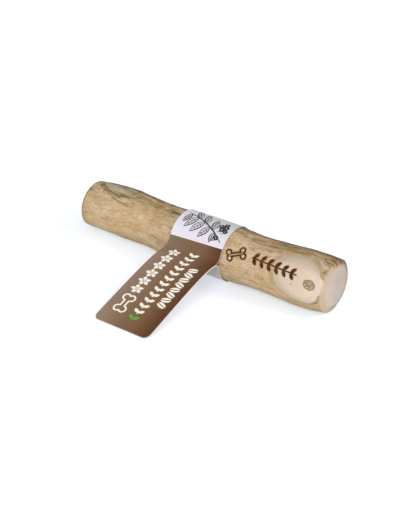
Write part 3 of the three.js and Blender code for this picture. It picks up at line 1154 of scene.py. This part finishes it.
def addStroke(mesh, points, width, closed=False, taper=0.0, lift=0.0):
    # a pen stroke along a path, thinner towards its ends where it tapers
    path = np.array(points, float)
    if closed:
        heading = np.roll(path, -1, 0) - np.roll(path, 1, 0)
        half = np.full(len(path), width / 2)
    else:
        heading = np.gradient(path, axis=0)
        share = np.linspace(0, 1, len(path))
        half = width / 2 * (1 - taper + taper * np.sin(pi * share) ** 0.7)
    heading /= np.hypot(*heading.T)[:, None]
    side = np.stack([-heading[:, 1], heading[:, 0]], -1) * half[:, None]
    top, foot = inkLayer["top"] + lift, inkLayer["foot"]
    rails = []
    for left, right in zip(path + side, path - side):
        corners = ((*left, top), (*right, top), (*right, foot), (*left, foot))
        rails.append([mesh.verts.new(corner) for corner in corners])
    pairs = list(zip(rails, rails[1:]))
    if closed:
        pairs.append((rails[-1], rails[0]))
    for a, b in pairs:
        addWall(mesh, a, b)
    if not closed:
        mesh.faces.new(rails[0][::-1])
        mesh.faces.new(rails[-1])


def placed(outline, middle, degrees):
    cosine, sine = cos(radians(degrees)), sin(radians(degrees))
    return [(middle[0] + x * cosine - y * sine, middle[1] + x * sine + y * cosine) for x, y in outline]


def onCircle(radius, degrees):
    return radius * cos(radians(degrees)), radius * sin(radians(degrees))


def leafOutline(length, width, steps=7):
    # two arcs that meet at the tips
    side = [(length * (k / steps - 0.5), -width / 2 * sin(pi * k / steps)) for k in range(steps + 1)]
    return side + [(x, -y) for x, y in side[::-1][1:-1]]


def discOutline(radius, steps):
    return [onCircle(radius, 360 * k / steps) for k in range(steps)]


def halfBeanOutline(length, width, gap, steps=9):
    # one half of a bean, flat along the slit
    angles = [pi * k / steps for k in range(steps + 1)]
    return [(gap / 2 + (width / 2 - gap / 2) * sin(angle), -length / 2 * cos(angle)) for angle in angles]


def boneOutline(steps=12):
    # a quarter of the outline is one knob's arc; the rest is its mirror images
    height, knob = bone["halfHeight"], bone["knob"]
    start = -asin(height / knob)
    end = pi - asin((bone["shaft"] - height) / knob)
    angles = [start + (end - start) * k / steps for k in range(steps + 1)]
    quarter = [(bone["halfLength"] + knob * cos(angle), height + knob * sin(angle)) for angle in angles]
    left = [(-x, y) for x, y in quarter[::-1]]
    upper = quarter + left[:-1]
    return upper + [(-x, -y) for x, y in upper]


def flatObject(name, build):
    layout = bmesh.new()
    build(layout)
    mesh = bpy.data.meshes.new(name)
    layout.to_mesh(mesh)
    layout.free()
    return addObject(name, mesh)


def printOntoCard(flat, name, ink):
    # scored across its run in short steps, so that it bends as the card does
    layout = bmesh.new()
    layout.from_mesh(flat.data)
    runs = [vertex.co.x for vertex in layout.verts]
    step = inkLayer["scoreStep"]
    score = ceil(min(runs) / step) * step
    while score < max(runs):
        parts = layout.verts[:] + layout.edges[:] + layout.faces[:]
        bmesh.ops.bisect_plane(layout, geom=parts, plane_co=(score, 0, 0), plane_no=(1, 0, 0), dist=1e-5)
        score += step
    bmesh.ops.triangulate(layout, faces=[face for face in layout.faces if len(face.verts) > 4])
    bmesh.ops.scale(layout, vec=(mm, mm, mm), verts=layout.verts)
    layout.to_mesh(flat.data)
    layout.free()
    return bendOntoCard(flat, name, ink, ink)


def makeInk(name, shade, roughness):
    material, tree, shader = startMaterial(name)
    grain = noiseOn(addNode(tree, "ShaderNodeTexCoord", "Object", {}), *inkNoise)
    setInputs(shader, {
        "Base Color": shaded(colour(*shade), grain, 0.3, 0.7, 0.95, 1.03),
        "Roughness": roughness,
        "Specular IOR Level": 0.4,
    })
    return material


creamInk = makeInk("cream_ink", printLooks["cream"], 0.5)
greenInk = makeInk("green_ink", printLooks["green"], 0.5)
blackInk = makeInk("black_ink", printLooks["ink"], 0.55)

# Rows of ornaments on the tag: first run, across, count, pitch and tilt of every other one
rows = {
    "blossom_row": (23.4, -7.9, 6, 5.7, 0.0),
    "leaf_row": (12.25, 1.9, 12, 3.85, 0.0),
    "green_leaves": (8.1, 1.9, 1, 3.85, 0.0),
    "bean_row": (19.8, 9.2, 8, 3.55, 16.0),
}
blossom = {
    "petals": 5,
    "reach": 1.72,
    "length": 2.5,
    "width": 1.75,
    "heart": 0.4,
    "squash": (0.96, 1.16),  # along the row and across it
}
leafPair = {"length": 3.3, "width": 1.75, "reach": 1.75, "spread": 56, "back": 0.9, "stem": (-1.6, 0.4, 0.35)}
bean = {"length": 5.0, "width": 2.9, "gap": 0.5}


def buildBlossom(layout):
    for k in range(blossom["petals"]):
        angle = 90 + 360 / blossom["petals"] * k
        outline = leafOutline(blossom["length"], blossom["width"])
        petal = placed(outline, onCircle(blossom["reach"], angle), angle)
        addSlab(layout, np.array(petal) * blossom["squash"])
    addSlab(layout, discOutline(blossom["heart"], 10))


def buildLeafPair(layout):
    for angle in (leafPair["spread"], -leafPair["spread"]):
        x, y = onCircle(leafPair["reach"], angle)
        leaf = leafOutline(leafPair["length"], leafPair["width"])
        addSlab(layout, placed(leaf, (x - leafPair["back"], y), angle))
    start, end, half = leafPair["stem"]
    addSlab(layout, [(start, -half), (end, -half), (end, half), (start, half)])


def buildBean(layout):
    for turned in (0, 180):
        addSlab(layout, placed(halfBeanOutline(bean["length"], bean["width"], bean["gap"]), (0, 0), turned))


def rowTree():
    # repeats one ornament along x, leaning every other one the other way
    tree, given = startTree("ornament row", [
        ("Ornament", "Geometry"), ("Count", "Int"), ("Pitch", "Float"), ("Tilt", "Float"),
        ("Ink", "Material"),
    ])
    line = addNode(tree, "GeometryNodeMeshLine", 0,
                   {"Count": given["Count"], "Offset": joinVector(tree, X=given["Pitch"])})
    odd = calculate("MODULO", addNode(tree, "GeometryNodeInputIndex", 0, {}), 2.0)
    lean = calculate("RADIANS", times(timesPlus(odd, 2.0, -1.0), given["Tilt"]))
    copies = addNode(tree, "GeometryNodeInstanceOnPoints", 0,
                     {"Points": line, "Instance": given["Ornament"], "Rotation": rotationFrom(tree, lean)})
    return finishTree(tree, copies, [(True, given["Ink"])])


ornamentRow = rowTree()


def makeRow(name, build, ink):
    start, across, count, pitch, tilt = rows[name]
    values = {"Count": count, "Pitch": pitch, "Tilt": tilt, "Ink": ink}
    repeated = applyTree(flatObject(name + "_ornament", build), ornamentRow, values, name + "_flat")
    co = np.array([vertex.co for vertex in repeated.data.vertices]) + (start, -across, 0)
    repeated.data.vertices.foreach_set("co", co.astype(np.float32).ravel())
    return printOntoCard(repeated, name, ink)


prints = [
    makeRow("blossom_row", buildBlossom, creamInk),
    makeRow("leaf_row", buildLeafPair, creamInk),
    makeRow("green_leaves", buildLeafPair, greenInk),
    makeRow("bean_row", buildBean, creamInk),
]
print("rows of ornaments made")

emblem = {"run": 13.6, "across": -7.6, "stroke": 0.85}


def buildEmblemBone(layout):
    outline = placed(boneOutline(), (emblem["run"], -emblem["across"]), 0)
    addStroke(layout, outline, emblem["stroke"], closed=True)


prints.append(printOntoCard(flatObject("emblem_flat", buildEmblemBone), "emblem_bone", creamInk))
print("emblem made")

# Pen drawing on the band: one branch with veined leaves and seed heads, in strokes
penDrawing = {
    "stem": [(65.3, -12.8), (68.6, -8.4), (71.6, -3.2), (74.2, 2.4), (75.8, 7.6), (76.6, 12.2)],
    "leaves": [  # run, towards the plain end, direction, length, width
        (69.3, -7.4, 172, 5.6, 2.4), (71.6, -3.4, 152, 8.0, 3.1), (73.6, 1.0, 148, 9.2, 3.4),
        (75.2, 5.6, 150, 9.2, 3.3), (76.3, 10.4, 165, 6.8, 2.7), (70.4, -5.6, 8, 8.0, 3.2),
        (73.0, -0.4, 22, 8.6, 3.2), (75.0, 4.6, 32, 8.0, 3.0),
    ],
    "veins": (0.25, 0.42, 0.6),  # shares of a leaf's length
    "veinCurve": [(0, 0), (0.08, 0.55), (0.13, 1)],
    "seeds": [  # run, towards the plain end, radius
        (66.9, -9.6, 0.85), (72.3, -9.9, 1.0), (74.5, -8.5, 0.9), (74.2, -11.4, 1.0), (71.6, -12.3, 0.8),
        (76.5, -10.5, 0.95),
    ],
    "pen": 0.48,
    "weights": {  # how wide a stroke is, in pens
        "stem": 1.5, "leftEdge": 1.25, "rightEdge": 0.9, "rib": 0.8, "vein": 0.6,
        "seedMark": 1, "seedTail": 0.8,
    },
    "leafBelly": 0.85,  # under 1, a leaf is widest nearer its foot
    "ribWave": 0.12,
}


def curvePoints(controls, steps):
    # an even path through a few points
    controls = np.array(controls, float)
    t = np.linspace(0, len(controls) - 1, steps)
    i = np.clip(t.astype(int), 0, len(controls) - 2)
    f = (t - i)[:, None]
    p0, p1 = controls[np.maximum(i - 1, 0)], controls[i]
    p2, p3 = controls[i + 1], controls[np.minimum(i + 2, len(controls) - 1)]
    return 0.5 * (2 * p1 + (p2 - p0) * f + (2 * p0 - 5 * p1 + 4 * p2 - p3) * f ** 2
                  + (3 * p1 - p0 - 3 * p2 + p3) * f ** 3)


def buildPenDrawing(layout):
    weights = penDrawing["weights"]
    strokes = 0

    def draw(points, width, taper=0.6, closed=False):
        nonlocal strokes
        strokes += 1
        addStroke(layout, points, width * penDrawing["pen"], closed, taper, inkLayer["strokeLift"] * strokes)

    def halfWidth(side, width, share):
        return side * width / 2 * sin(pi * share ** penDrawing["leafBelly"])

    draw(curvePoints(penDrawing["stem"], 40), weights["stem"], 0.5)
    for run, y, degrees, length, width in penDrawing["leaves"]:
        out, aside = onCircle(length / 2, degrees)
        middle = (run + out, y + aside)
        share = np.linspace(0, 1, 15)
        for side, weight in ((1, weights["leftEdge"]), (-1, weights["rightEdge"])):
            edge = [(length * (s - 0.5), halfWidth(side, width, s)) for s in share]
            draw(placed(edge, middle, degrees), weight, 0.4)
        rib = [(length * (s - 0.5), penDrawing["ribWave"] * sin(5 * s)) for s in share[:13]]
        draw(placed(rib, middle, degrees), weights["rib"])
        for s in penDrawing["veins"]:
            for side in (1, -1):
                # a vein ends a little short of the edge that it runs out to
                tip = halfWidth(side, width, s + 0.12) * 0.8
                vein = [(length * (s - 0.5 + step), tip * reach) for step, reach in penDrawing["veinCurve"]]
                draw(placed(vein, middle, degrees), weights["vein"])
    for run, y, radius in penDrawing["seeds"]:
        draw(placed(discOutline(radius, 16), (run, y), 0), 1 + radius, closed=True)
        mark = [(run + radius * u, y - radius * v) for u, v in ((-0.4, 0.2), (0, 0.45), (0.4, 0.2))]
        draw(mark, weights["seedMark"])
        tail = [(run - radius - u, y + v) for u, v in ((0, 0), (0.7, 0.8), (1.0, 1.8))]
        draw(tail, weights["seedTail"])


prints.append(printOntoCard(flatObject("drawing_flat", buildPenDrawing), "pen_drawing", blackInk))
bpy.data.objects.remove(cardPath)
print("pen drawing made")

for piece, slotName in ((stick, "peeled_wood"), (strip, "printed_card"),
                        *((piece, "printed_card") for piece in prints)):
    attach(piece, "root")
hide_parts("stick")
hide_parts("paper_label")

# Floor, lamps and world
stageLooks = {
    "floorSize": 4.0,
    "floorDrop": 0.00003,
    "floorShade": (232, 236, 242),
    "floorTint": (0.88, 0.93, 1.0),
    "floorGlow": 0.44,
    "worldStrength": 0.47,
    "lampDistance": 1000,
}
lamps = [
    # name, azimuth, elevation, how wide it looks in degrees, strength
    ("key", 20, 36, 40, 1.22),
    ("fill", 75, 30, 50, 0.2),
    ("side", 108, 38, 24, 0.95),
]


def makeFloor():
    half, drop = stageLooks["floorSize"] / 2, -stageLooks["floorDrop"]
    corners = [(-half, -half, drop), (half, -half, drop), (half, half, drop), (-half, half, drop)]
    mesh = bpy.data.meshes.new("floor")
    mesh.from_pydata(corners, [], [(0, 1, 2, 3)])
    material, _, shader = startMaterial("floor_paper")
    setInputs(shader, {
        "Base Color": colour(*stageLooks["floorShade"]),
        "Roughness": 0.9,
        "Specular IOR Level": 0.1,
        "Emission Color": (*stageLooks["floorTint"], 1),
        "Emission Strength": stageLooks["floorGlow"],
    })
    mesh.materials.append(material)
    addObject("floor", mesh)


def placeLamps():
    for name, azimuth, elevation, width, strength in lamps:
        light = bpy.data.lights.new(name, "SUN")
        light.energy = strength
        light.angle = radians(width)
        placeFacing(name, light, azimuth, elevation, stageLooks["lampDistance"])


def makeWorld():
    world = bpy.data.worlds.new("studio")
    world.use_nodes = True
    setInputs(world.node_tree.nodes["Background"],
              {"Color": (1, 1, 1, 1), "Strength": stageLooks["worldStrength"]})
    scene.world = world
    scene.view_settings.view_transform = "Standard"


makeFloor()
placeLamps()
makeWorld()
print("stage set")
